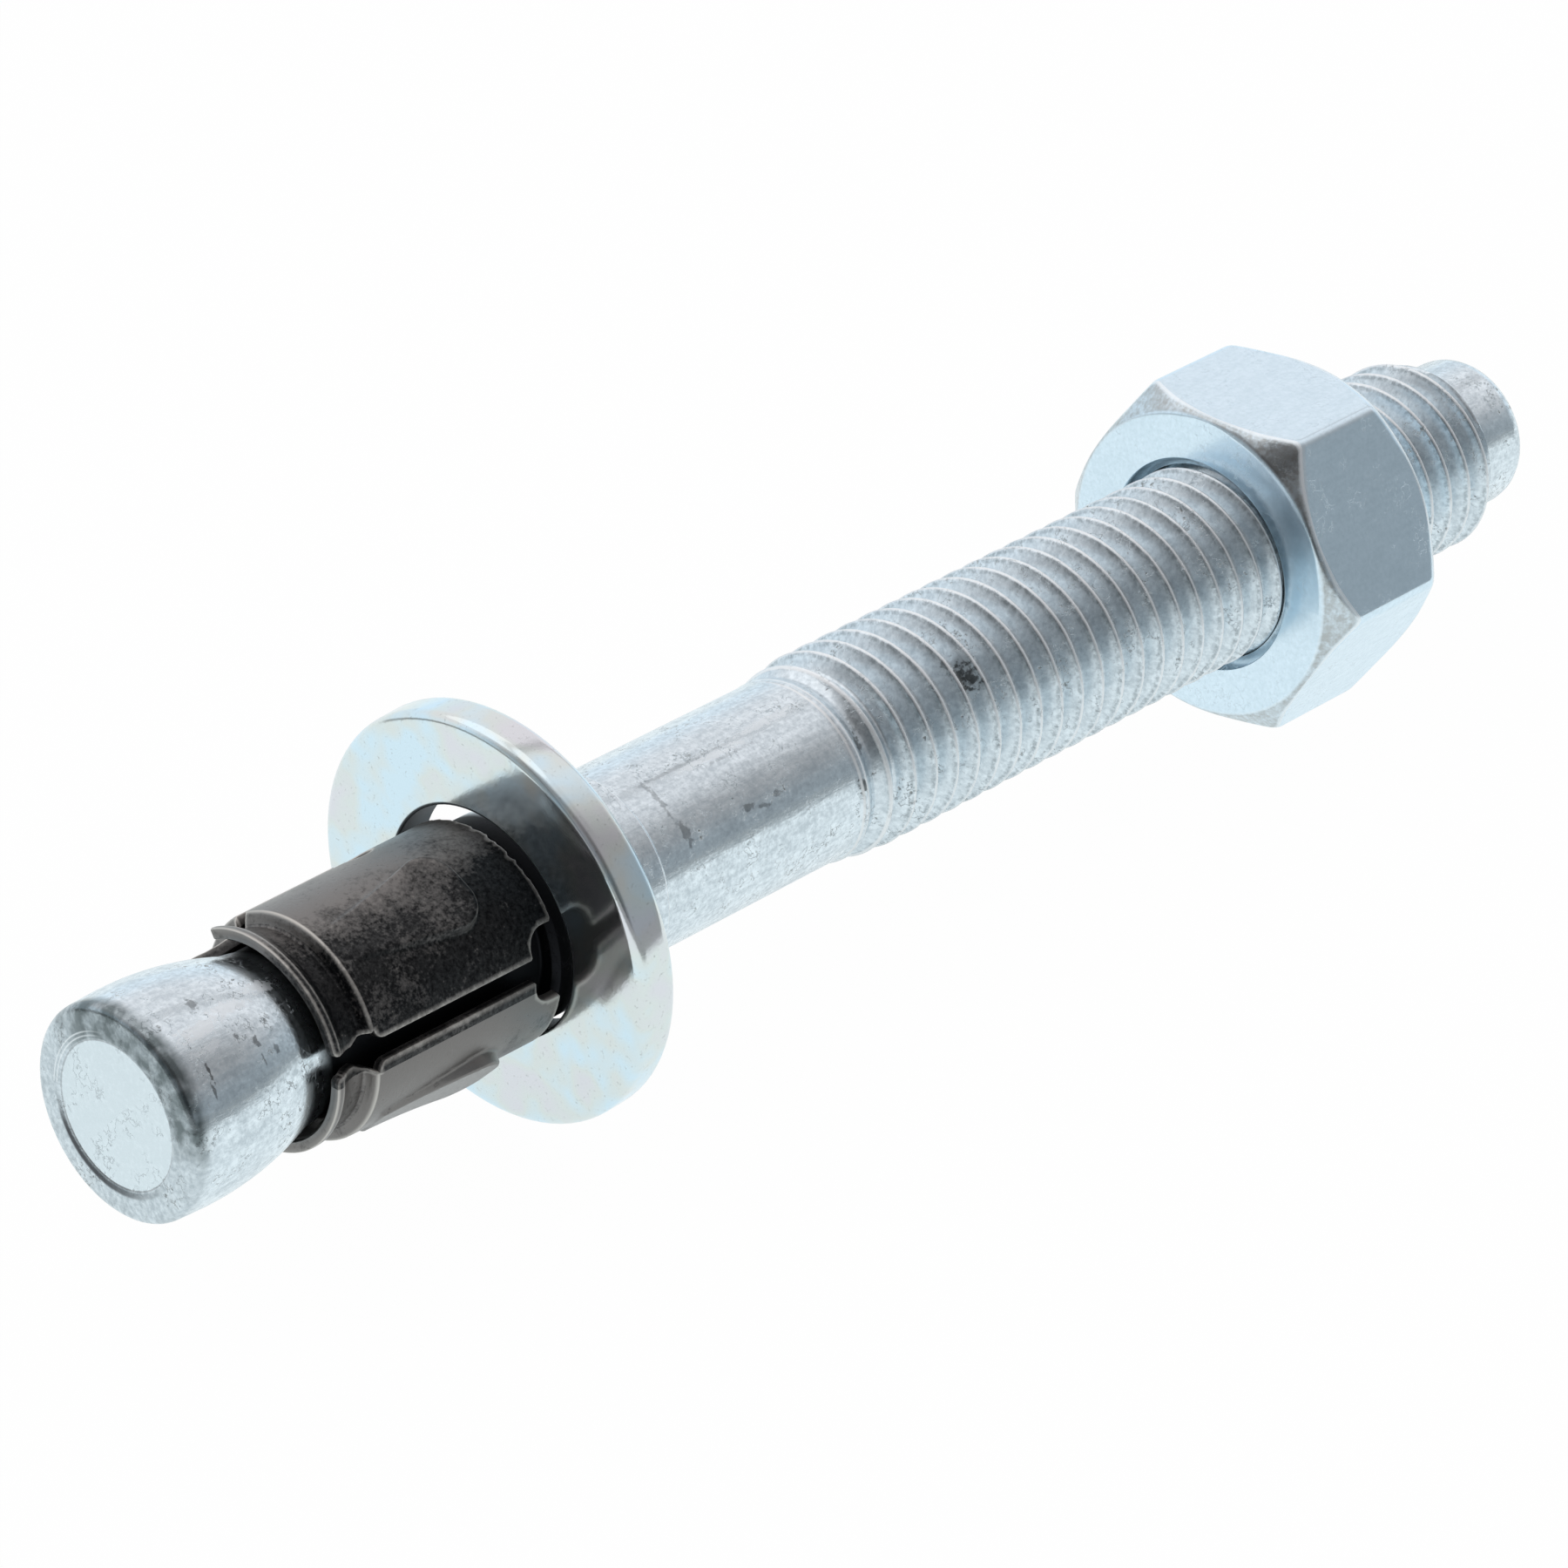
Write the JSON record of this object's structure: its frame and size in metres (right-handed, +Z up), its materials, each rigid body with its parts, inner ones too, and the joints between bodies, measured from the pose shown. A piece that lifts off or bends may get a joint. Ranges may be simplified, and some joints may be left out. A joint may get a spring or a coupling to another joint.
{
  "type": "wedge anchor",
  "caption": "Zinc-plated wedge anchor lying at rest: stud with expander cone, dark sheet-steel expansion clip, flat washer and hexagon nut on the threaded end.",
  "frame": {"origin": "on the ground, under the middle of the anchor's bounding box", "axes": "+X points from the expander head towards the nut end, along the anchor as it lies, +Z up. The anchor's own axis drops 1.64 degrees from +X towards the nut end, because the washer's rim holds the head end a little higher."},
  "size_m": [0.1102, 0.024, 0.024],
  "materials": {
    "zinc_plated_stud": "bright zinc plating over cold-formed steel, scratched and pitted",
    "dark_clip_steel": "blackish worn sheet steel with bright cut edges",
    "zinc_plated_washer": "smooth bright zinc plating",
    "zinc_plated_nut": "satin zinc plating"
  },
  "bodies": {
    "stud": {"stud": "zinc_plated_stud"},
    "expansion_clip": {"expansion_clip": "dark_clip_steel"},
    "washer": {"washer": "zinc_plated_washer"},
    "hex_nut": {"hex_nut": "zinc_plated_nut"}
  },
  "joints": [
    {"name": "clip_turn", "type": "hinge", "parent": "stud", "child": "expansion_clip", "pos_m": [-0.03697, 0, 0.01169], "axis": [0.9996, 0, -0.0287], "continuous": true},
    {"name": "washer_slide", "type": "slide", "parent": "stud", "child": "washer", "axis": [0.9996, 0, -0.0287], "range_m": [0, 0.0554]},
    {"name": "nut_travel", "type": "slide", "parent": "stud", "child": "hex_nut", "axis": [0.9996, 0, -0.0287], "range_m": [-0.0315, 0.01575]}
  ]
}
